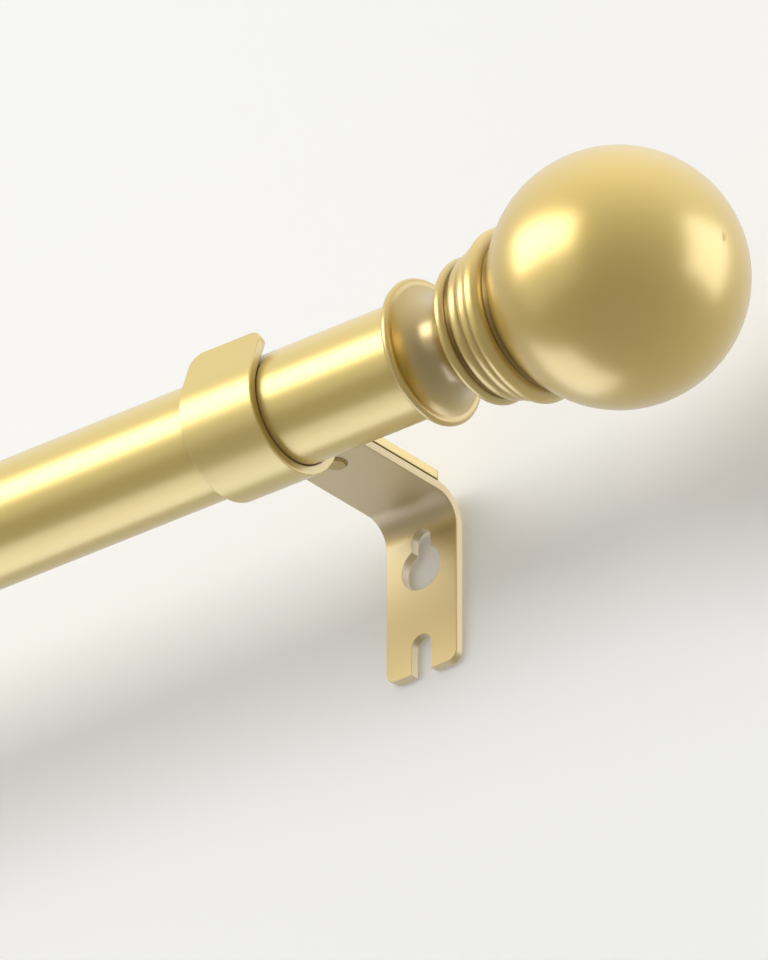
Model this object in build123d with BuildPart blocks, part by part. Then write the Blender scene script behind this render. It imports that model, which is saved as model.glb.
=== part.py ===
from build123d import *
from math import cos, radians, sin, sqrt
import os

os.makedirs("parts", exist_ok=True)

# Extendable curtain rod on two wall brackets, with a turned ball finial at each end.
# The origin lies on the wall, in the middle of the right bracket's plate.
# +X runs along the rod to the right finial, +Y points into the wall, +Z is up.

# Tubes
outer_tube_radius = 12.7
tube_wall = 0.8
tube_play = 0.8
outer_tube_length = 640
shown_inner_length = 71
closed_gap = 21
running_clearance = 0.05

# Wall bracket, folded from one strip
strip_width = 19.2
bracket_thickness = 2.1
bracket_bend_radius = 6
rod_distance = 55.9
rod_height = 22
arm_rise = 1
arm_front_gap = 4.2
plate_bottom = 15
strip_corner_radius = 2.6
strip_edge_radius = 0.3
keyhole_radius = 5.2
keyhole_height = 10
keyhole_slot_width = 5.1
keyhole_slot_height = 16.6
foot_slot_width = 5.3
foot_slot_height = -8.7

# Rod hook, folded from one strip
hook_thickness = 2.2
hook_bend_radius = 1.5
hook_lip_angle = 20
hook_lip_length = 10
hook_lip_corner = 3.4
hook_tail_end = 48.8
hook_tail_corner = 1.6
hook_from_tube_end = 45.8
strip_gap = 0.25

# Clamp screw and washer
screw_radius = 2.4
screw_end = 0.5
screw_from_rod = 25.5
screw_head_radius = 4.6
screw_head_height = 2.8
screw_head_round = 1.5
recess_length = 5
recess_width = 1
recess_depth = 1.3
washer_radius = 5.4
washer_thickness = 0.8
tail_slot_width = 5.4
projection_travel = 16

# Turned collar of the finial, from the end of the tube outwards
lip_thickness = 2
lip_radius = 16.3
cove_width = 12
cove_edge_radius = 14.5
neck_radius = 9.8
ring_radius = 16.3
ring_thickness = 2.6
groove_radius = 14.1
groove_width = 1
bead_radius = 16.6
bead_width = 3.4
second_bead_radius = 17.8
second_bead_width = 3.3
bead_valley = 0.6
rim_radius = 19.4
rim_back_round = 1.6
rim_front_round = 2.4
seat_step = 0.5
seat_radius = 16.16
collar_bore_radius = 7.5
collar_floor = 9

# Ball of the finial
ball_radius = 27.7
ball_wall = 1.2
ball_boss_radius = 7
ball_boss_length = 16

# Stud, plug and nut that hold the finial in the tube
stud_radius = 3
stud_hole_radius = 3.3
stud_in_tube = 18
stud_in_ball = 13.5
plug_length = 18
nut_flats = 10
nut_thickness = 5
nut_pocket = 10
plug_chamfer = 0.8

# Guides between the two tubes
mouth_flange = 1.6
mouth_spigot = 12
guide_length = 12
guide_spigot = 10
guide_wall = 1.4

# Places worked out from the sizes above
outer_bore_radius = outer_tube_radius - tube_wall
inner_tube_radius = outer_bore_radius - tube_play
inner_bore_radius = inner_tube_radius - tube_wall
right_end = hook_from_tube_end
mouth_end = right_end - outer_tube_length
left_end = mouth_end - shown_inner_length
guide_end = right_end - plug_length - closed_gap
inner_tube_length = guide_end - guide_length - left_end
left_bracket_x = left_end + hook_from_tube_end
hook_radius = outer_tube_radius + running_clearance
left_lift = hook_radius - inner_tube_radius - running_clearance
arm_bottom = rod_height + arm_rise
arm_top = arm_bottom + bracket_thickness
arm_front = -rod_distance + hook_radius + hook_thickness + arm_front_gap
tail_bottom = arm_top + strip_gap
tail_top = tail_bottom + hook_thickness
screw_y = screw_from_rod - rod_distance
washer_bottom = tail_top + running_clearance
head_bottom = washer_bottom + washer_thickness
ring_start = lip_thickness + cove_width
ring_end = ring_start + ring_thickness
bead_start = ring_end + groove_width
second_start = bead_start + bead_width
rim_start = second_start + second_bead_width
rim_crest = rim_start + rim_back_round
collar_length = rim_crest + rim_front_round + seat_step
ball_centre = collar_length + sqrt(ball_radius**2 - seat_radius**2)
rod_axis = Axis((0, -rod_distance, rod_height), (1, 0, 0))


def write(piece, label):
    piece.part.label = label
    export_step(piece.part, f"parts/{label}.step")


def tube_end_plane(end_x, side):
    # Local x runs outwards along the rod from a tube's end, local y is the radius.
    return Plane(origin=(end_x, -rod_distance, rod_height), x_dir=(side, 0, 0), z_dir=(0, -side, 0))


def bracket_plane(centre_x, lift):
    # Local x is the distance from the wall, local y is the height, local z runs along the rod.
    return Plane(origin=(centre_x, 0, lift), x_dir=(0, 1, 0), z_dir=(1, 0, 0))


def tube_section_plane(section_x):
    # A cross-section of the rod, with local z along the rod.
    return Plane(origin=(section_x, -rod_distance, rod_height), x_dir=(0, 1, 0), z_dir=(1, 0, 0))


def screw_plane(centre_x, height):
    # A level plane centred on the clamp screw.
    return Plane(origin=(centre_x, screw_y, height), x_dir=(1, 0, 0), z_dir=(0, 0, 1))


def build_tube(outer_radius, start_x, length):
    with BuildPart() as tube:
        with BuildSketch(tube_section_plane(start_x)):
            Circle(outer_radius)
            Circle(outer_radius - tube_wall, mode=Mode.SUBTRACT)
        extrude(amount=length)
    return tube


def soften_strip(strip):
    # The stamped strip has lightly rounded long edges on both of its sides.
    sides = strip.faces().filter_by(Axis.X)
    fillet(sides.edges(), radius=strip_edge_radius)


def build_wall_bracket(centre_x, lift):
    outer_bend = bracket_bend_radius + bracket_thickness
    with BuildPart() as bracket:
        with BuildSketch(bracket_plane(centre_x, lift)):
            with BuildLine():
                # The upper side of the arm and the wall side of the plate.
                Line((arm_front, arm_top), (-outer_bend, arm_top))
                CenterArc((-outer_bend, arm_top - outer_bend), outer_bend, 90, -90)
                Line((0, arm_top - outer_bend), (0, -plate_bottom))
                offset(amount=bracket_thickness, side=Side.RIGHT)
            make_face()
        extrude(amount=strip_width / 2, both=True)
        foot_edges = bracket.edges().filter_by(Axis.Y).group_by(Axis.Z)[0]
        fillet(foot_edges, radius=strip_corner_radius)
        front_edges = bracket.edges().filter_by(Axis.Z).group_by(Axis.Y)[0]
        fillet(front_edges, radius=strip_corner_radius)
        soften_strip(bracket)
        with BuildSketch(Plane(origin=(centre_x, 0, lift), x_dir=(1, 0, 0), z_dir=(0, -1, 0))):
            with Locations((0, keyhole_height)):
                Circle(keyhole_radius)
            with Locations((0, keyhole_slot_height)):
                Circle(keyhole_slot_width / 2)
            with Locations((0, (keyhole_height + keyhole_slot_height) / 2)):
                Rectangle(keyhole_slot_width, keyhole_slot_height - keyhole_height)
            with Locations((0, foot_slot_height)):
                Circle(foot_slot_width / 2)
            with Locations((0, (foot_slot_height - plate_bottom) / 2)):
                Rectangle(foot_slot_width, foot_slot_height + plate_bottom)
        extrude(amount=2 * bracket_thickness, mode=Mode.SUBTRACT)
        with BuildSketch(screw_plane(centre_x, arm_bottom + lift)):
            Circle(screw_radius + running_clearance)
        extrude(amount=bracket_thickness, mode=Mode.SUBTRACT)
    return bracket


def build_rod_hook(centre_x, lift):
    lip_up = (sin(radians(hook_lip_angle)), cos(radians(hook_lip_angle)))
    lip_y = -rod_distance - hook_radius * cos(radians(hook_lip_angle))
    lip_z = rod_height + hook_radius * sin(radians(hook_lip_angle))
    lip_tip = (lip_y + hook_lip_length * lip_up[0], lip_z + hook_lip_length * lip_up[1])
    tube_centre = (-rod_distance, rod_height)
    outer_bend = hook_bend_radius + hook_thickness
    back_y = hook_radius - rod_distance
    with BuildPart() as hook:
        with BuildSketch(bracket_plane(centre_x, lift)):
            with BuildLine():
                # The side of the strip that lies against the tube, from the lip's tip to the tail's end.
                Line(lip_tip, (lip_y, lip_z))
                CenterArc(tube_centre, hook_radius, 180 - hook_lip_angle, 180 + hook_lip_angle)
                Line((back_y, rod_height), (back_y, tail_top - outer_bend))
                CenterArc((back_y + outer_bend, tail_top - outer_bend), outer_bend, 180, -90)
                Line((back_y + outer_bend, tail_top), (hook_tail_end - rod_distance, tail_top))
                offset(amount=hook_thickness, side=Side.RIGHT)
            make_face()
        extrude(amount=strip_width / 2, both=True)
        tip_face = hook.faces().sort_by(Axis.Z)[-1]
        fillet(tip_face.edges().filter_by(Axis.X, reverse=True), radius=hook_lip_corner)
        tail_edges = hook.edges().filter_by(Axis.Z).group_by(Axis.Y)[-1]
        fillet(tail_edges, radius=hook_tail_corner)
        soften_strip(hook)
        with BuildSketch(screw_plane(centre_x, tail_bottom + lift)):
            with Locations((0, projection_travel / 2)):
                SlotCenterToCenter(projection_travel, tail_slot_width, rotation=90)
        extrude(amount=hook_thickness, mode=Mode.SUBTRACT)
    return hook


def build_clamp_screw(centre_x, lift):
    shank_bottom = arm_bottom - screw_end
    with BuildPart() as screw:
        with BuildSketch(screw_plane(centre_x, shank_bottom + lift)):
            Circle(screw_radius)
        extrude(amount=head_bottom - shank_bottom)
        with BuildSketch(screw_plane(centre_x, head_bottom + lift)):
            Circle(screw_head_radius)
        extrude(amount=screw_head_height)
        head_rim = screw.edges().filter_by(GeomType.CIRCLE).sort_by(Axis.Z)[-1]
        fillet(head_rim, radius=screw_head_round)
        head_top = head_bottom + screw_head_height + lift
        with BuildSketch(screw_plane(centre_x, head_top)):
            Rectangle(recess_length, recess_width)
            Rectangle(recess_width, recess_length)
        extrude(amount=-recess_depth, mode=Mode.SUBTRACT)
    return screw


def build_clamp_washer(centre_x, lift):
    with BuildPart() as washer:
        with BuildSketch(screw_plane(centre_x, washer_bottom + lift)):
            Circle(washer_radius)
            Circle(screw_radius + running_clearance, mode=Mode.SUBTRACT)
        extrude(amount=washer_thickness)
    return washer


def build_collar(end_x, side):
    plane = tube_end_plane(end_x, side)
    lip_round = lip_thickness / 2
    ring_round = ring_thickness / 2
    with BuildPart() as collar:
        with BuildSketch(plane):
            with BuildLine():
                Line((0, stud_hole_radius), (0, lip_radius - lip_round))
                ThreePointArc(
                    (0, lip_radius - lip_round),
                    (lip_round, lip_radius),
                    (lip_thickness, lip_radius - lip_round),
                )
                Line((lip_thickness, lip_radius - lip_round), (lip_thickness, cove_edge_radius))
                ThreePointArc(
                    (lip_thickness, cove_edge_radius),
                    (lip_thickness + cove_width / 2, neck_radius),
                    (ring_start, cove_edge_radius),
                )
                Line((ring_start, cove_edge_radius), (ring_start, ring_radius - ring_round))
                ThreePointArc(
                    (ring_start, ring_radius - ring_round),
                    (ring_start + ring_round, ring_radius),
                    (ring_end, ring_radius - ring_round),
                )
                Line((ring_end, ring_radius - ring_round), (bead_start - groove_width / 2, groove_radius))
                Line((bead_start - groove_width / 2, groove_radius), (bead_start, ring_radius - ring_round))
                ThreePointArc(
                    (bead_start, ring_radius - ring_round),
                    (bead_start + bead_width / 2, bead_radius),
                    (second_start, bead_radius - bead_valley),
                )
                ThreePointArc(
                    (second_start, bead_radius - bead_valley),
                    (second_start + second_bead_width / 2, second_bead_radius),
                    (rim_start, second_bead_radius - bead_valley),
                )
                Line((rim_start, second_bead_radius - bead_valley), (rim_start, rim_radius - rim_back_round))
                CenterArc((rim_crest, rim_radius - rim_back_round), rim_back_round, 180, -90)
                CenterArc((rim_crest, rim_radius - rim_front_round), rim_front_round, 90, -90)
                Line(
                    (rim_crest + rim_front_round, rim_radius - rim_front_round),
                    (collar_length, seat_radius),
                )
                Line((collar_length, seat_radius), (collar_length, collar_bore_radius))
                Line((collar_length, collar_bore_radius), (collar_floor, collar_bore_radius))
                Line((collar_floor, collar_bore_radius), (collar_floor, stud_hole_radius))
                Line((collar_floor, stud_hole_radius), (0, stud_hole_radius))
            make_face()
        revolve(axis=rod_axis)
    return collar


def build_ball(end_x, side):
    plane = tube_end_plane(end_x, side)
    inner_radius = ball_radius - ball_wall
    inner_flat = collar_length + ball_wall
    inner_flat_radius = sqrt(inner_radius**2 - (ball_centre - inner_flat) ** 2)
    hole_radius = stud_radius + running_clearance
    boss_end = collar_length + ball_boss_length
    hole_end = collar_length + stud_in_ball + running_clearance
    with BuildPart() as ball:
        with BuildSketch(plane):
            with BuildLine():
                Line((collar_length, hole_radius), (collar_length, seat_radius))
                ThreePointArc(
                    (collar_length, seat_radius),
                    (ball_centre, ball_radius),
                    (ball_centre + ball_radius, 0),
                )
                Line((ball_centre + ball_radius, 0), (ball_centre + inner_radius, 0))
                ThreePointArc(
                    (ball_centre + inner_radius, 0),
                    (ball_centre, inner_radius),
                    (inner_flat, inner_flat_radius),
                )
                Line((inner_flat, inner_flat_radius), (inner_flat, ball_boss_radius))
                Line((inner_flat, ball_boss_radius), (boss_end, ball_boss_radius))
                Line((boss_end, ball_boss_radius), (boss_end, 0))
                Line((boss_end, 0), (hole_end, 0))
                Line((hole_end, 0), (hole_end, hole_radius))
                Line((hole_end, hole_radius), (collar_length, hole_radius))
            make_face()
        revolve(axis=rod_axis)
    return ball


def build_stud(end_x, side):
    with BuildPart() as stud:
        with BuildSketch(tube_section_plane(end_x - side * stud_in_tube)):
            Circle(stud_radius)
        extrude(amount=side * (stud_in_tube + collar_length + stud_in_ball))
    return stud


def build_plug(end_x, side, bore_radius):
    pocket_flats = nut_flats + 2 * running_clearance
    with BuildPart() as plug:
        with BuildSketch(tube_section_plane(end_x)):
            Circle(bore_radius - running_clearance)
            Circle(stud_hole_radius, mode=Mode.SUBTRACT)
        extrude(amount=-side * plug_length)
        inner_x = end_x - side * plug_length
        inner_rim = plug.edges().filter_by(GeomType.CIRCLE).group_by(SortBy.RADIUS)[-1]
        chamfer(inner_rim.sort_by_distance((inner_x, -rod_distance, rod_height))[0], length=plug_chamfer)
        with BuildSketch(tube_section_plane(inner_x)):
            RegularPolygon(pocket_flats / 2, side_count=6, major_radius=False)
        extrude(amount=side * nut_pocket, mode=Mode.SUBTRACT)
    return plug


def build_nut(end_x, side):
    seat_x = end_x - side * (plug_length - nut_pocket)
    with BuildPart() as nut:
        with BuildSketch(tube_section_plane(seat_x)):
            RegularPolygon(nut_flats / 2, side_count=6, major_radius=False)
            Circle(stud_radius + running_clearance, mode=Mode.SUBTRACT)
        extrude(amount=-side * nut_thickness)
    return nut


def build_mouth_ring():
    inner_radius = inner_tube_radius + running_clearance
    with BuildPart() as ring:
        with BuildSketch(tube_end_plane(mouth_end, -1)):
            with BuildLine():
                Polyline(
                    (-mouth_spigot, inner_radius),
                    (mouth_flange, inner_radius),
                    (mouth_flange, outer_tube_radius),
                    (0, outer_tube_radius),
                    (0, outer_bore_radius - running_clearance),
                    (-mouth_spigot, outer_bore_radius - running_clearance),
                    close=True,
                )
            make_face()
        revolve(axis=rod_axis)
        flange_edges = ring.edges().filter_by(GeomType.CIRCLE).group_by(Axis.X)[0]
        flange_rim = flange_edges.sort_by(SortBy.RADIUS)[-1]
        fillet(flange_rim, radius=mouth_flange / 2)
    return ring


def build_guide_bush():
    slide_radius = outer_bore_radius - running_clearance
    spigot_radius = inner_bore_radius - running_clearance
    with BuildPart() as bush:
        with BuildSketch(tube_end_plane(left_end + inner_tube_length, 1)):
            with BuildLine():
                Polyline(
                    (-guide_spigot, spigot_radius - guide_wall),
                    (guide_length, spigot_radius - guide_wall),
                    (guide_length, slide_radius),
                    (0, slide_radius),
                    (0, spigot_radius),
                    (-guide_spigot, spigot_radius),
                    close=True,
                )
            make_face()
        revolve(axis=rod_axis)
    return bush


# Brackets, hooks and their clamp screws
for name, centre_x, lift in (("right", 0, 0), ("left", left_bracket_x, left_lift)):
    write(build_wall_bracket(centre_x, lift), f"wall_bracket_{name}")
    write(build_rod_hook(centre_x, lift), f"rod_hook_{name}")
    write(build_clamp_screw(centre_x, lift), f"clamp_screw_{name}")
    write(build_clamp_washer(centre_x, lift), f"clamp_washer_{name}")

# Tubes and their guides
write(build_tube(outer_tube_radius, mouth_end, outer_tube_length), "outer_tube")
write(build_tube(inner_tube_radius, left_end, inner_tube_length), "inner_tube")
write(build_mouth_ring(), "tube_mouth_ring")
write(build_guide_bush(), "inner_tube_bush")

# Finials and what holds them in the tubes
ends = (("right", right_end, 1, outer_bore_radius), ("left", left_end, -1, inner_bore_radius))
for name, end_x, side, bore_radius in ends:
    write(build_collar(end_x, side), f"finial_collar_{name}")
    write(build_ball(end_x, side), f"finial_ball_{name}")
    write(build_stud(end_x, side), f"finial_stud_{name}")
    write(build_plug(end_x, side, bore_radius), f"tube_plug_{name}")
    write(build_nut(end_x, side), f"plug_nut_{name}")
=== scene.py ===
from math import radians, tau

import bmesh
import bpy
from mathutils import Matrix, Vector


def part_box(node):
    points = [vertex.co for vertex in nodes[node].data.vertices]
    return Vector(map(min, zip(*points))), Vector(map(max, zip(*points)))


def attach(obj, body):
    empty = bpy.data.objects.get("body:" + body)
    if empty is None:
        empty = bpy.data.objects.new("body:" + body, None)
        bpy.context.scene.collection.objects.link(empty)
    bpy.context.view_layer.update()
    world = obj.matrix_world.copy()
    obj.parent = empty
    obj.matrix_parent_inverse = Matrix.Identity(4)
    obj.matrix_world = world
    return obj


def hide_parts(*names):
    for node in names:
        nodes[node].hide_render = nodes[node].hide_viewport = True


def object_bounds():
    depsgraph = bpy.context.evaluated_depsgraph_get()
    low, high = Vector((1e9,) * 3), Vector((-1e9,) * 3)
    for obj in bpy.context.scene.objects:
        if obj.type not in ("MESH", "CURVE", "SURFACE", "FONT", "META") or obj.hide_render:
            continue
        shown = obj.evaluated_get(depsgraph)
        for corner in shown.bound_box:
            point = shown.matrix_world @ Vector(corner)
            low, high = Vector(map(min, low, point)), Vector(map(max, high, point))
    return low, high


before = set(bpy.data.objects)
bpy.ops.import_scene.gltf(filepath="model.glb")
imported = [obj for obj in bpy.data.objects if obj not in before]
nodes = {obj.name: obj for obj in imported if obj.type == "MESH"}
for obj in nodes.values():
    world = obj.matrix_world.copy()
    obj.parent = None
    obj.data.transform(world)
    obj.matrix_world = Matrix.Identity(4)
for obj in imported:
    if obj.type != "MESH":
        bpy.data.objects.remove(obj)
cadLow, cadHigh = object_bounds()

mm = 0.001
sides = ("right", "left")


# Where the rod is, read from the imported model

tubeLow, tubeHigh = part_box("outer_tube")
rodAxis = (tubeLow + tubeHigh) / 2


# Camera, at the photograph's viewing angle: from the right, in front and below
# Lengths are in millimetres, except farClip, which is in metres

cameraSetup = {
    "right": (0.7737, 0.6336, 0.0),
    "up": (0.3081, -0.3763, 0.8738),
    "lens": 1200.0,
    "sensor": 36.0,
    "frameHeight": 201.0,
    "ballFromTube": 51.3,
    "aimRight": -49.0,
    "aimUp": -42.2,
    "depthPlane": 38.0,
    "farClip": 100.0,
}


def addCamera():
    setup = cameraSetup
    right = Vector(setup["right"]).normalized()
    up = Vector(setup["up"]).normalized()
    back = right.cross(up)
    ball = Vector((tubeHigh.x + setup["ballFromTube"] * mm, rodAxis.y, rodAxis.z))
    aim = ball + right * setup["aimRight"] * mm + up * setup["aimUp"] * mm
    distance = setup["frameHeight"] * mm * setup["lens"] / setup["sensor"]
    data = bpy.data.cameras.new("camera")
    data.lens = setup["lens"]
    data.sensor_width = setup["sensor"]
    data.clip_end = setup["farClip"]
    camera = bpy.data.objects.new("camera", data)
    # Sizes are true in a plane a little behind the ball, at the bracket
    camera.location = aim + back * (distance - setup["depthPlane"] * mm)
    turn = Matrix((right, up, back)).transposed()
    camera.matrix_world = Matrix.Translation(camera.location) @ turn.to_4x4()
    bpy.context.scene.collection.objects.link(camera)
    bpy.context.scene.camera = camera
    return aim


aimPoint = addCamera()
print("camera placed")


# Materials

def linear(hexColour):
    # An sRGB hex colour as the linear one that the sockets take
    channels = [int(hexColour[i:i + 2], 16) / 255 for i in (1, 3, 5)]
    straight = [c / 12.92 if c <= 0.04045 else ((c + 0.055) / 1.055) ** 2.4 for c in channels]
    return (*straight, 1.0)


def addNode(tree, kind, settings=None):
    # Adds a node. A setting is one of its properties, the value of an input, or the output
    # socket that feeds it
    node = tree.nodes.new(kind)
    for name, value in (settings or {}).items():
        if isinstance(value, bpy.types.NodeSocket):
            tree.links.new(value, node.inputs[name])
        elif isinstance(name, int) or name in node.inputs:
            node.inputs[name].default_value = value
        else:
            setattr(node, name, value)
    return node


def newMaterial(name):
    material = bpy.data.materials.new(name)
    material.use_nodes = True
    material.node_tree.nodes.clear()
    return material, material.node_tree


# Gold lacquer on each group of pieces: its shades, how rough it is, how far the grain is drawn
# out along the rod (below 1), how far edges are rounded, how near another surface makes a place
# a corner, between which shares of open sky a corner's painted shade fades out, and that shade's
# colour
lacquers = {
    "tube": {
        "shade": "#EECE54", "deepShade": "#E8C84C", "roughness": 0.32, "coatRoughness": 0.3,
        "stretch": 0.03, "edgeRound": 0.1, "paintedShadeReach": 5.0, "corner": (0.2, 0.9),
        "paintedCornerShade": "#857347",
    },
    "hook": {
        "shade": "#ECCD5A", "deepShade": "#E6C752", "roughness": 0.34, "coatRoughness": 0.3,
        "stretch": 1.0, "edgeRound": 0.35, "paintedShadeReach": 8.0, "corner": (0.2, 0.9),
        "paintedCornerShade": "#857347",
    },
    "bracket": {
        "shade": "#DEC479", "deepShade": "#D6BC6E", "roughness": 0.5, "coatRoughness": 0.45,
        "stretch": 1.0, "edgeRound": 0.35, "paintedShadeReach": 30.0, "corner": (0.35, 0.92),
        "paintedCornerShade": "#75653A",
    },
    "collar": {
        "shade": "#EBC84A", "deepShade": "#E5C142", "roughness": 0.33, "coatRoughness": 0.3,
        "stretch": 1.0, "edgeRound": 0.1, "paintedShadeReach": 6.0, "corner": (0.1, 0.9),
        "paintedCornerShade": "#94804A",
    },
    "ball": {
        "shade": "#EBC84A", "deepShade": "#E5C142", "roughness": 0.33, "coatRoughness": 0.3,
        "stretch": 1.0, "edgeRound": 0.1, "paintedShadeReach": 4.0, "corner": (0.1, 0.9),
        "paintedCornerShade": "#A28D52",
    },
}

# The film itself, the same everywhere, with sizes and depths in millimetres
lacquerFilm = {
    "grainSize": 0.35,
    "cloudSize": 22.0,
    "roughSpread": 0.03,
    "bumpStrength": 0.06,
    "bumpDepth": 0.02,
    "rubSpacing": 0.9,
    "rubStretch": 0.01,
    "rubRange": (0.62, 0.72),
    "rubShade": "#DCC98C",
    "seamWidth": 0.6,
    "seamHeight": 6.0,
    "flakeShare": 0.8,
    "coatIor": 2.4,
    # The painted shade in the collar's hollow neck, and the radii in millimetres across which it
    # fades out
    "paintedNeckShade": "#BC9D3E",
    "paintedNeckShadeRadii": (10.5, 18.5),
}


def goldLacquer(name, look, seam=False, scuffed=False, paintNeckShade=False):
    # Steel or turned metal under a gold lacquer with mica flakes, sprayed and baked: a deep yellow
    # below, a pale soft sheen on top, broken up by a very fine grain; corners and hollows are
    # painted browner, a painted shade where little light gets in
    film = lacquerFilm
    material, tree = newMaterial(name)
    place = addNode(tree, "ShaderNodeTexCoord").outputs["Object"]
    drawn = addNode(tree, "ShaderNodeMapping", {
        "Scale": (look["stretch"], 1, 1), "Vector": place})
    grain = addNode(tree, "ShaderNodeTexNoise", {
        "Scale": 1 / (film["grainSize"] * mm), "Detail": 3.0, "Vector": drawn.outputs["Vector"]})
    cloud = addNode(tree, "ShaderNodeTexNoise", {
        "Scale": 1 / (film["cloudSize"] * mm), "Detail": 2.0, "Vector": place})
    height = grain.outputs["Fac"]
    colour = addNode(tree, "ShaderNodeMix", {
        "data_type": "RGBA", "Factor": cloud.outputs["Fac"],
        "A": linear(look["shade"]), "B": linear(look["deepShade"])})
    rough = addNode(tree, "ShaderNodeMapRange", {
        "Value": height, "To Min": look["roughness"] - film["roughSpread"],
        "To Max": look["roughness"] + film["roughSpread"]})
    if scuffed:
        # Faint lengthwise rubbing, where the thin tube slides through the plastic ring
        lengthwise = addNode(tree, "ShaderNodeMapping", {
            "Scale": (film["rubStretch"], 1, 1), "Vector": place})
        rubs = addNode(tree, "ShaderNodeTexNoise", {
            "Scale": 1 / (film["rubSpacing"] * mm), "Detail": 2.0,
            "Vector": lengthwise.outputs["Vector"]})
        rubbed = addNode(tree, "ShaderNodeMapRange", {
            "Value": rubs.outputs["Fac"],
            "From Min": film["rubRange"][0], "From Max": film["rubRange"][1]})
        colour = addNode(tree, "ShaderNodeMix", {
            "data_type": "RGBA", "Factor": rubbed.outputs["Result"],
            "A": colour.outputs["Result"], "B": linear(film["rubShade"])})
    if seam:
        # The tube is rolled from strip: its welded seam is a faint raised line on the wall side
        parts = addNode(tree, "ShaderNodeSeparateXYZ", {"Vector": place})
        across = addNode(tree, "ShaderNodeMath", {
            "operation": "SUBTRACT", 0: parts.outputs["Z"], 1: rodAxis.z})
        offset = addNode(tree, "ShaderNodeMath", {"operation": "ABSOLUTE", 0: across.outputs[0]})
        ridge = addNode(tree, "ShaderNodeMapRange", {
            "Value": offset.outputs[0], "From Max": film["seamWidth"] * mm,
            "To Min": film["seamHeight"], "To Max": 0.0})
        wallSide = addNode(tree, "ShaderNodeMath", {
            "operation": "GREATER_THAN", 0: parts.outputs["Y"], 1: rodAxis.y})
        raised = addNode(tree, "ShaderNodeMath", {
            "operation": "MULTIPLY_ADD", 0: ridge.outputs["Result"], 1: wallSide.outputs[0],
            2: height})
        height = raised.outputs[0]
    if paintNeckShade:
        # Painted shade: the collar is painted browner the nearer it lies to the rod's axis,
        # deepest in the narrow neck's hollow
        centred = addNode(tree, "ShaderNodeMapping", {
            "Location": (0, -rodAxis.y, -rodAxis.z), "Scale": (0, 1, 1), "Vector": place})
        radius = addNode(tree, "ShaderNodeVectorMath", {
            "operation": "LENGTH", 0: centred.outputs["Vector"]})
        outwards = addNode(tree, "ShaderNodeMapRange", {
            "Value": radius.outputs["Value"],
            "From Min": film["paintedNeckShadeRadii"][0] * mm, "From Max": film["paintedNeckShadeRadii"][1] * mm})
        colour = addNode(tree, "ShaderNodeMix", {
            "data_type": "RGBA", "Factor": outwards.outputs["Result"],
            "A": linear(film["paintedNeckShade"]), "B": colour.outputs["Result"]})
    # Painted shade: where another surface is near and less open sky is seen, the colour is painted
    # towards the darker corner shade
    corner = addNode(tree, "ShaderNodeAmbientOcclusion", {
        "samples": 8, "Distance": look["paintedShadeReach"] * mm})
    openness = addNode(tree, "ShaderNodeMapRange", {
        "Value": corner.outputs["AO"],
        "From Min": look["corner"][0], "From Max": look["corner"][1]})
    colour = addNode(tree, "ShaderNodeMix", {
        "data_type": "RGBA", "Factor": openness.outputs["Result"],
        "A": linear(look["paintedCornerShade"]), "B": colour.outputs["Result"]})
    edges = addNode(tree, "ShaderNodeBevel", {"samples": 4, "Radius": look["edgeRound"] * mm})
    bump = addNode(tree, "ShaderNodeBump", {
        "Strength": film["bumpStrength"], "Distance": film["bumpDepth"] * mm, "Height": height,
        "Normal": edges.outputs["Normal"]})
    shader = addNode(tree, "ShaderNodeBsdfPrincipled", {
        "Base Color": colour.outputs["Result"],
        "Roughness": rough.outputs["Result"],
        "Normal": bump.outputs["Normal"],
        "Metallic": film["flakeShare"],
        "Coat Weight": 1.0,
        "Coat IOR": film["coatIor"],
        "Coat Roughness": look["coatRoughness"]})
    addNode(tree, "ShaderNodeOutputMaterial", {"Surface": shader.outputs["BSDF"]})
    return material


# What a tumbling barrel leaves on plated steel, with sizes and depths in millimetres
plating = {
    "speckSize": 0.6,
    "roughSpread": 0.06,
    "bumpStrength": 0.1,
    "bumpDepth": 0.02,
}


def platedSteel(name, colour, darker, roughness):
    # Steel with a thin bright plating: a clean metal, with faint specks from the tumbling barrel,
    # drawn a little coarser than they are so that they show
    material, tree = newMaterial(name)
    place = addNode(tree, "ShaderNodeTexCoord").outputs["Object"]
    specks = addNode(tree, "ShaderNodeTexNoise", {
        "Scale": 1 / (plating["speckSize"] * mm), "Detail": 4.0, "Vector": place})
    tint = addNode(tree, "ShaderNodeMix", {
        "data_type": "RGBA", "Factor": specks.outputs["Fac"],
        "A": linear(colour), "B": linear(darker)})
    sheen = addNode(tree, "ShaderNodeMapRange", {
        "Value": specks.outputs["Fac"], "To Min": roughness - plating["roughSpread"],
        "To Max": roughness + plating["roughSpread"]})
    bump = addNode(tree, "ShaderNodeBump", {
        "Strength": plating["bumpStrength"], "Distance": plating["bumpDepth"] * mm,
        "Height": specks.outputs["Fac"]})
    shader = addNode(tree, "ShaderNodeBsdfPrincipled", {
        "Base Color": tint.outputs["Result"],
        "Roughness": sheen.outputs["Result"],
        "Normal": bump.outputs["Normal"],
        "Metallic": 1.0})
    addNode(tree, "ShaderNodeOutputMaterial", {"Surface": shader.outputs["BSDF"]})
    return material


# A moulding's skin, with sizes and depths in millimetres
mouldSkin = {
    "flowSize": 9.0,
    "pitSize": 0.25,
    "bumpShare": 0.4,
    "bumpDepth": 0.03,
    "glowDepth": 2.0,
}


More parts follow.
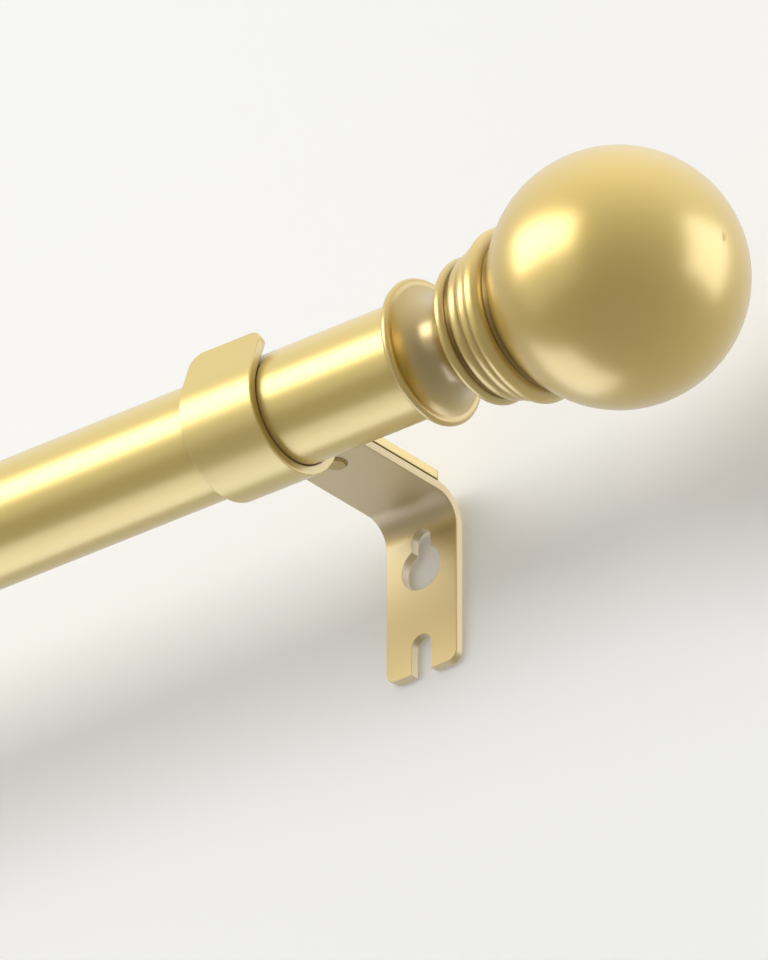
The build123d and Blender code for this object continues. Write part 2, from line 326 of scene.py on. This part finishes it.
def mouldedPlastic(name, colour, darker, roughness, clearness, flakes):
    # Injection-moulded plastic: an even colour with soft flow clouds and the fine pitting of a
    # mould that was spark-eroded, or a polished one where the roughness is low
    material, tree = newMaterial(name)
    place = addNode(tree, "ShaderNodeTexCoord").outputs["Object"]
    flow = addNode(tree, "ShaderNodeTexNoise", {
        "Scale": 1 / (mouldSkin["flowSize"] * mm), "Detail": 2.0, "Vector": place})
    pits = addNode(tree, "ShaderNodeTexNoise", {
        "Scale": 1 / (mouldSkin["pitSize"] * mm), "Detail": 2.0, "Vector": place})
    tint = addNode(tree, "ShaderNodeMix", {
        "data_type": "RGBA", "Factor": flow.outputs["Fac"],
        "A": linear(colour), "B": linear(darker)})
    bump = addNode(tree, "ShaderNodeBump", {
        "Strength": roughness * mouldSkin["bumpShare"], "Distance": mouldSkin["bumpDepth"] * mm,
        "Height": pits.outputs["Fac"]})
    shader = addNode(tree, "ShaderNodeBsdfPrincipled", {
        "Base Color": tint.outputs["Result"],
        "Roughness": roughness,
        "Normal": bump.outputs["Normal"],
        "Metallic": flakes,
        "Subsurface Weight": clearness,
        "Subsurface Radius": (mouldSkin["glowDepth"] * mm,) * 3})
    addNode(tree, "ShaderNodeOutputMaterial", {"Surface": shader.outputs["BSDF"]})
    return material


outerTubeGold = goldLacquer("gold lacquer on welded steel tube", lacquers["tube"], seam=True)
innerTubeGold = goldLacquer("gold lacquer on the sliding steel tube", lacquers["tube"],
                            seam=True, scuffed=True)
hookGold = goldLacquer("gold lacquer on the stamped hooks", lacquers["hook"])
bracketGold = goldLacquer("gold lacquer on the stamped brackets", lacquers["bracket"])
collarGold = goldLacquer("gold lacquer on the turned collars", lacquers["collar"], paintNeckShade=True)
ballGold = goldLacquer("gold lacquer on the balls", lacquers["ball"])
brassPlate = platedSteel("brass-plated steel", "#CDB67C", "#BCA469", 0.34)
zincPlate = platedSteel("zinc-plated steel", "#C4C6C7", "#AEB1B5", 0.32)
ringPlastic = mouldedPlastic("gold ABS, polished mould", "#D9B968", "#CFAE5B",
                             roughness=0.25, clearness=0.0, flakes=0.35)
plugPlastic = mouldedPlastic("natural nylon, spark-eroded mould", "#D9D6CB", "#CECBBF",
                             roughness=0.5, clearness=0.15, flakes=0.0)

nodeMaterials = {
    "outer_tube": outerTubeGold,
    "inner_tube": innerTubeGold,
    "tube_mouth_ring": ringPlastic,
    "inner_tube_bush": plugPlastic,
}
endMaterials = {
    "wall_bracket_": bracketGold,
    "rod_hook_": hookGold,
    "clamp_screw_": brassPlate,
    "clamp_washer_": brassPlate,
    "finial_collar_": collarGold,
    "finial_ball_": ballGold,
    "finial_stud_": zincPlate,
    "plug_nut_": zincPlate,
    "tube_plug_": plugPlastic,
}
for side in sides:
    for start, material in endMaterials.items():
        nodeMaterials[start + side] = material

for node, material in nodeMaterials.items():
    nodes[node].data.materials.clear()
    nodes[node].data.materials.append(material)
print("materials made")


# Threads, screw heads and washers: made in millimetres along +Z, then placed

mergeGap = 0.001
trimGap = 0.0001
sharpAngle = 32

# The depth and the flats at root and crest are shares of the pitch, and endBlunt is how far the
# end turns stand out from the root
threadShape = {
    "rootShare": 0.25,
    "crestShare": 0.125,
    "depthShare": 0.61,
    "stepsPerTurn": 24,
    "endBlunt": 0.25,
    "turnsBelow": 2,
    "spareTurns": 3,
}


def cutThread(shape, bottom, top, radius, pitch):
    # One pitch of the thread's outline, wound up the axis, trimmed flat and pointed at both ends
    form = threadShape
    root = radius - form["depthShare"] * pitch
    flank = (1 - form["rootShare"] - form["crestShare"]) / 2
    heights = (0, form["rootShare"], form["rootShare"] + flank, 1 - flank, 1)
    turns = round((top - bottom) / pitch) + form["spareTurns"]
    first = bottom - form["turnsBelow"] * pitch
    outline = [shape.verts.new((reach, 0, first + share * pitch))
               for reach, share in zip((root, root, radius, radius, root), heights)]
    edges = [shape.edges.new(pair) for pair in zip(outline, outline[1:])]
    steps = form["stepsPerTurn"]
    bmesh.ops.spin(shape, geom=outline + edges, cent=(0, 0, 0), axis=(0, 0, 1),
                   angle=turns * tau, steps=turns * steps, dvec=(0, 0, pitch / steps))
    bmesh.ops.remove_doubles(shape, verts=shape.verts[:], dist=mergeGap)
    for point in shape.verts:
        room = root + form["endBlunt"] + max(0, min(point.co.z - bottom, top - point.co.z))
        reach = point.co.xy.length
        if reach > room:
            point.co.xy *= room / reach
    for height, outward in ((bottom, -1), (top, 1)):
        everything = shape.verts[:] + shape.edges[:] + shape.faces[:]
        bmesh.ops.bisect_plane(shape, geom=everything, plane_co=(0, 0, height),
                               plane_no=(0, 0, outward), clear_outer=True, dist=trimGap)
    bmesh.ops.holes_fill(shape, edges=[e for e in shape.edges if e.is_boundary])
    bmesh.ops.recalc_face_normals(shape, faces=shape.faces[:])


def meshFrom(shape, name):
    # Millimetres to metres
    bmesh.ops.scale(shape, verts=shape.verts[:], vec=(mm, mm, mm))
    mesh = bpy.data.meshes.new(name)
    shape.to_mesh(mesh)
    shape.free()
    return smoothed(mesh)


def smoothed(mesh):
    # Smooth, with its sharp edges kept
    mesh.shade_smooth()
    mesh.set_sharp_from_angle(angle=radians(sharpAngle))
    return mesh


def joined(first, second, operation):
    # Two meshes added or cut by a Boolean modifier, which is then applied
    base = bpy.data.objects.new("joinedBase", first)
    tool = bpy.data.objects.new("joinedTool", second)
    for thing in (base, tool):
        bpy.context.scene.collection.objects.link(thing)
    modifier = base.modifiers.new("join", "BOOLEAN")
    modifier.operation = operation
    modifier.solver = "EXACT"
    modifier.object = tool
    applied = base.evaluated_get(bpy.context.evaluated_depsgraph_get())
    result = bpy.data.meshes.new_from_object(applied)
    for thing in (base, tool):
        bpy.data.objects.remove(thing)
    return smoothed(result)


def addPiece(name, pattern, place, material, body, node):
    # A copy of the pattern mesh, put where its CAD node is
    mesh = pattern.copy()
    mesh.name = name
    mesh.transform(place)
    mesh.materials.clear()
    mesh.materials.append(material)
    piece = bpy.data.objects.new(name, mesh)
    bpy.context.scene.collection.objects.link(piece)
    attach(piece, body)
    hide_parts(node)


# The M6 rods that the finials screw on by
studSetup = {"pitch": 1.0}


def makeStud():
    low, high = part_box("finial_stud_right")
    shape = bmesh.new()
    cutThread(shape, 0, (high.x - low.x) / mm, (high.z - low.z) / 2 / mm, studSetup["pitch"])
    return meshFrom(shape, "threadedRod")


# Pan-head M5 screws with a cross recess, which set how far the hook stands from the wall
screwSetup = {
    "pitch": 0.8,
    "threadRadius": 2.4,
    "threadInHead": 0.2,
    "headHeight": 2.8,
    "headRound": 1.5,
    "headSides": 64,
    "roundSteps": 8,
    "recessLength": 5.0,
    "recessWidth": 1.1,
    "recessDepth": 1.5,
    "recessTaper": 0.62,
}


def makeClampScrew():
    setup = screwSetup
    low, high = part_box("clamp_screw_right")
    radius = (high.x - low.x) / 2 / mm
    length = (high.z - low.z) / mm
    headBottom = length - setup["headHeight"]
    shank = bmesh.new()
    cutThread(shank, 0, headBottom + setup["threadInHead"], setup["threadRadius"],
              setup["pitch"])
    head = bmesh.new()
    rim = bmesh.ops.create_circle(head, cap_ends=True, segments=setup["headSides"],
                                  radius=radius)["verts"]
    bmesh.ops.translate(head, verts=rim, vec=(0, 0, headBottom))
    raised = bmesh.ops.extrude_face_region(head, geom=head.faces[:])["geom"]
    topVerts = [g for g in raised if isinstance(g, bmesh.types.BMVert)]
    bmesh.ops.translate(head, verts=topVerts, vec=(0, 0, setup["headHeight"]))
    topEdges = [e for e in head.edges if all(v in topVerts for v in e.verts)]
    bmesh.ops.bevel(head, geom=topEdges, offset=setup["headRound"],
                    segments=setup["roundSteps"], profile=0.5, affect="EDGES", material=-1)
    bmesh.ops.recalc_face_normals(head, faces=head.faces[:])
    whole = joined(meshFrom(head, "screwHead"), meshFrom(shank, "screwShank"), "UNION")
    recess = (setup["recessLength"], setup["recessWidth"])
    for size in (recess, recess[::-1]):
        cross = bmesh.new()
        arm = bmesh.ops.create_cube(cross, size=1)["verts"]
        bmesh.ops.scale(cross, verts=arm, vec=(*size, 2 * setup["recessDepth"]))
        bmesh.ops.translate(cross, verts=arm, vec=(0, 0, length))
        foot = [v for v in arm if v.co.z < length]
        bmesh.ops.scale(cross, verts=foot, vec=(setup["recessTaper"], setup["recessTaper"], 1))
        whole = joined(whole, meshFrom(cross, "screwRecess"), "DIFFERENCE")
    return whole


# Punched washers under the screw heads, rolled over a little at the rims
washerSetup = {"boreRadius": 2.45, "rimRound": 0.2, "sides": 64, "roundSteps": 3}


def makeWasher():
    setup = washerSetup
    low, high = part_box("clamp_washer_right")
    bore = setup["boreRadius"]
    radius = (high.x - low.x) / 2 / mm
    thickness = (high.z - low.z) / mm
    shape = bmesh.new()
    corners = [shape.verts.new((reach, 0, height))
               for reach, height in ((bore, 0), (radius, 0), (radius, thickness),
                                     (bore, thickness))]
    edges = [shape.edges.new(pair) for pair in zip(corners, corners[1:] + corners[:1])]
    bmesh.ops.spin(shape, geom=corners + edges, cent=(0, 0, 0), axis=(0, 0, 1), angle=tau,
                   steps=setup["sides"], use_merge=True)
    bmesh.ops.remove_doubles(shape, verts=shape.verts[:], dist=mergeGap)
    bmesh.ops.recalc_face_normals(shape, faces=shape.faces[:])
    # The edges that run round the washer, and not across its faces
    rims = [e for e in shape.edges
            if abs(e.verts[0].co.z - e.verts[1].co.z) < mergeGap
            and abs(e.verts[0].co.xy.length - e.verts[1].co.xy.length) < mergeGap]
    bmesh.ops.bevel(shape, geom=rims, offset=setup["rimRound"], segments=setup["roundSteps"],
                    profile=0.5, affect="EDGES", material=-1)
    return meshFrom(shape, "punchedWasher")


studMesh = makeStud()
screwMesh = makeClampScrew()
washerMesh = makeWasher()
for side in sides:
    low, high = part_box("finial_stud_" + side)
    start = Matrix.Translation((low.x, (low.y + high.y) / 2, (low.z + high.z) / 2))
    alongRod = Matrix.Rotation(radians(90), 4, "Y")
    addPiece("threaded_rod_" + side, studMesh, start @ alongRod, zincPlate,
             "stud_" + side, "finial_stud_" + side)
    for name, mesh, node in (("pan_head_screw_", screwMesh, "clamp_screw_"),
                             ("punched_washer_", washerMesh, "clamp_washer_")):
        low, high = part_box(node + side)
        start = Matrix.Translation(((low.x + high.x) / 2, (low.y + high.y) / 2, low.z))
        addPiece(name + side, mesh, start, brassPlate,
                 "clamp_" + side, node + side)
print("threads, screw heads and washers made")


# Wall, floor and light
# Lengths are in metres, except wallGap, which is in millimetres

stageSetup = {
    "wallWidth": 6.0,
    "wallHeight": 6.0,
    "floorDrop": 4.2,
    "floorDepth": 1.8,
    "wallGap": 0.2,
    "wallColour": "#FDFDFC",
    "wallLift": 0.035,
    "floorColour": "#CFCCC6",
    "floorLift": 0.0,
    "paintRoughness": 0.9,
    "backgroundColour": "#F4F4F1",
}


def stageMaterial(name, colour, lift):
    # Matt emulsion paint, seen from its front only, so that a view from behind looks through it,
    # and shown to the camera a little lighter than it is
    material, tree = newMaterial(name)
    geometry = addNode(tree, "ShaderNodeNewGeometry")
    path = addNode(tree, "ShaderNodeLightPath")
    lifted = addNode(tree, "ShaderNodeMath", {
        "operation": "MULTIPLY", 0: path.outputs["Is Camera Ray"], 1: lift})
    paint = addNode(tree, "ShaderNodeBsdfPrincipled", {
        "Base Color": linear(colour),
        "Roughness": stageSetup["paintRoughness"],
        "Emission Color": (1, 1, 1, 1),
        "Emission Strength": lifted.outputs[0]})
    behind = addNode(tree, "ShaderNodeMath", {
        "operation": "MULTIPLY", 0: geometry.outputs["Backfacing"],
        1: path.outputs["Is Camera Ray"]})
    clear = addNode(tree, "ShaderNodeBsdfTransparent")
    mix = addNode(tree, "ShaderNodeMixShader", {
        0: behind.outputs[0], 1: paint.outputs["BSDF"], 2: clear.outputs["BSDF"]})
    addNode(tree, "ShaderNodeOutputMaterial", {"Surface": mix.outputs["Shader"]})
    return material


def addStagePlane(name, material, corners):
    shape = bmesh.new()
    shape.faces.new([shape.verts.new(c) for c in corners])
    mesh = bpy.data.meshes.new(name)
    shape.to_mesh(mesh)
    shape.free()
    mesh.materials.append(material)
    plane = bpy.data.objects.new(name, mesh)
    bpy.context.scene.collection.objects.link(plane)
    # The gold shows the studio's lamps, those beyond the wall too, and the wall doesn't shade the
    # rod from them
    plane.visible_glossy = False
    plane.visible_shadow = False


def addStage():
    setup = stageSetup
    wallY = cadHigh.y + setup["wallGap"] * mm
    floorZ = cadLow.z - setup["floorDrop"]
    middle = (cadLow.x + cadHigh.x) / 2
    left, right = middle - setup["wallWidth"] / 2, middle + setup["wallWidth"] / 2
    top = cadHigh.z + setup["wallHeight"] / 2
    front = wallY - setup["floorDepth"]
    wallFoot = [(left, wallY, floorZ), (right, wallY, floorZ)]
    wallPaint = stageMaterial("white wall paint", setup["wallColour"], setup["wallLift"])
    addStagePlane("wall", wallPaint, wallFoot + [(right, wallY, top), (left, wallY, top)])
    floorPaint = stageMaterial("pale floor paint", setup["floorColour"], setup["floorLift"])
    addStagePlane("floor", floorPaint,
                  [(left, front, floorZ), (right, front, floorZ)] + wallFoot[::-1])


# A long flat softbox in front on the left with a wide dim one round it, a panel beyond the right
# end, and a card low on the left, with distances and sizes in metres and power in watts
lightSetup = {
    "key": {
        "towards": (-0.47, -0.83, 0.34), "distance": 3.0, "size": (3.2, 1.5), "power": 42.0,
        "colour": "#FFFEFA",
    },
    "glow": {
        "towards": (-0.49, -0.86, 0.08), "distance": 3.4, "size": (4.4, 4.0), "power": 17.0,
        "colour": "#E6ECFF",
    },
    "side": {
        "towards": (0.84, 0.48, 0.23), "distance": 1.5, "size": (1.15, 1.15), "power": 6.6,
        "colour": "#D6DDFF",
    },
    "card": {
        "towards": (-0.74, 0.27, -0.64), "distance": 1.5, "size": (1.2, 1.15), "power": 5.4,
        "colour": "#CFD8FF",
    },
}

# The rest of the studio: dim below, bright overhead, and a little brighter towards the wall
skySetup = {"low": 0.31, "rise": 0.7, "curve": 2.8, "wallRise": 0.17, "wallCurve": 1.6}


def addLight(name, towards, distance, size, power, colour):
    data = bpy.data.lights.new(name, "AREA")
    data.shape = "RECTANGLE"
    data.size, data.size_y = size
    data.energy = power
    data.color = linear(colour)[:3]
    light = bpy.data.objects.new(name, data)
    direction = Vector(towards).normalized()
    light.location = aimPoint + direction * distance
    light.rotation_mode = "QUATERNION"
    light.rotation_quaternion = direction.to_track_quat("Z", "Y")
    light.visible_camera = False
    bpy.context.scene.collection.objects.link(light)


def addWorld():
    # The studio for every ray but the camera's, which sees a plain pale background
    world = bpy.data.worlds.new("studio")
    world.use_nodes = True
    tree = world.node_tree
    tree.nodes.clear()
    direction = addNode(tree, "ShaderNodeTexCoord").outputs["Generated"]
    parts = addNode(tree, "ShaderNodeSeparateXYZ", {"Vector": direction})
    level = skySetup["low"]
    for axis, rise, curve in (("Z", "rise", "curve"), ("Y", "wallRise", "wallCurve")):
        share = addNode(tree, "ShaderNodeMapRange", {
            "Value": parts.outputs[axis], "From Min": -1.0})
        bent = addNode(tree, "ShaderNodeMath", {
            "operation": "POWER", 0: share.outputs["Result"], 1: skySetup[curve]})
        level = addNode(tree, "ShaderNodeMath", {
            "operation": "MULTIPLY_ADD", 0: bent.outputs[0], 1: skySetup[rise],
            2: level}).outputs[0]
    fill = addNode(tree, "ShaderNodeBackground", {"Color": (1, 1, 1, 1), "Strength": level})
    seen = addNode(tree, "ShaderNodeBackground", {
        "Color": linear(stageSetup["backgroundColour"]), "Strength": 1.0})
    path = addNode(tree, "ShaderNodeLightPath")
    mix = addNode(tree, "ShaderNodeMixShader", {
        0: path.outputs["Is Camera Ray"], 1: fill.outputs["Background"],
        2: seen.outputs["Background"]})
    addNode(tree, "ShaderNodeOutputWorld", {"Surface": mix.outputs["Shader"]})
    bpy.context.scene.world = world


addStage()
for lightName, settings in lightSetup.items():
    addLight(lightName, **settings)
addWorld()
bpy.context.scene.view_settings.view_transform = "Standard"
print("stage and lights placed")
